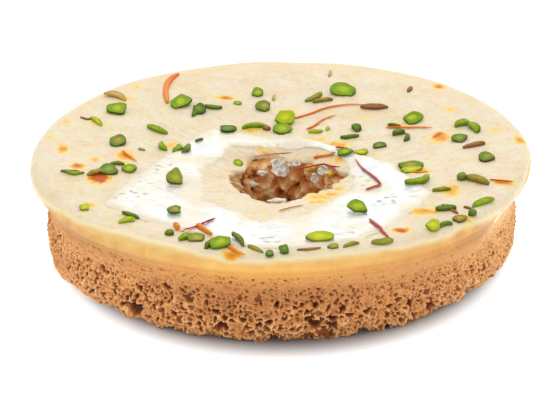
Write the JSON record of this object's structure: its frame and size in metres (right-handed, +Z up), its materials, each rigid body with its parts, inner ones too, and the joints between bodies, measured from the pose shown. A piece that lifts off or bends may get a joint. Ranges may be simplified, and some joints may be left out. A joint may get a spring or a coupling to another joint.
{
  "type": "ghewar",
  "caption": "Round fried honeycomb sweet with a hole, topped with thickened milk, silver leaf, pistachio slices and saffron.",
  "frame": {"origin": "centre of the underside, on the surface that the sweet rests on", "axes": "+Z up through the top; +X right and +Y to the back, with the hole off centre towards -Y"},
  "size_m": [0.16, 0.16, 0.0332],
  "materials": {
    "fried_dough": "porous fried batter, golden under the rabri and brown at the foot",
    "rabri": "soft satin cream of thickened milk",
    "silver_leaf": "thin crumpled edible silver foil",
    "pistachio": "cut green nut with a darker skin",
    "saffron": "soaked saffron threads"
  },
  "bodies": {
    "root": {"fried_base": "fried_dough", "rabri_layer": "rabri", "silver_leaf": "silver_leaf"}
  },
  "joints": []
}
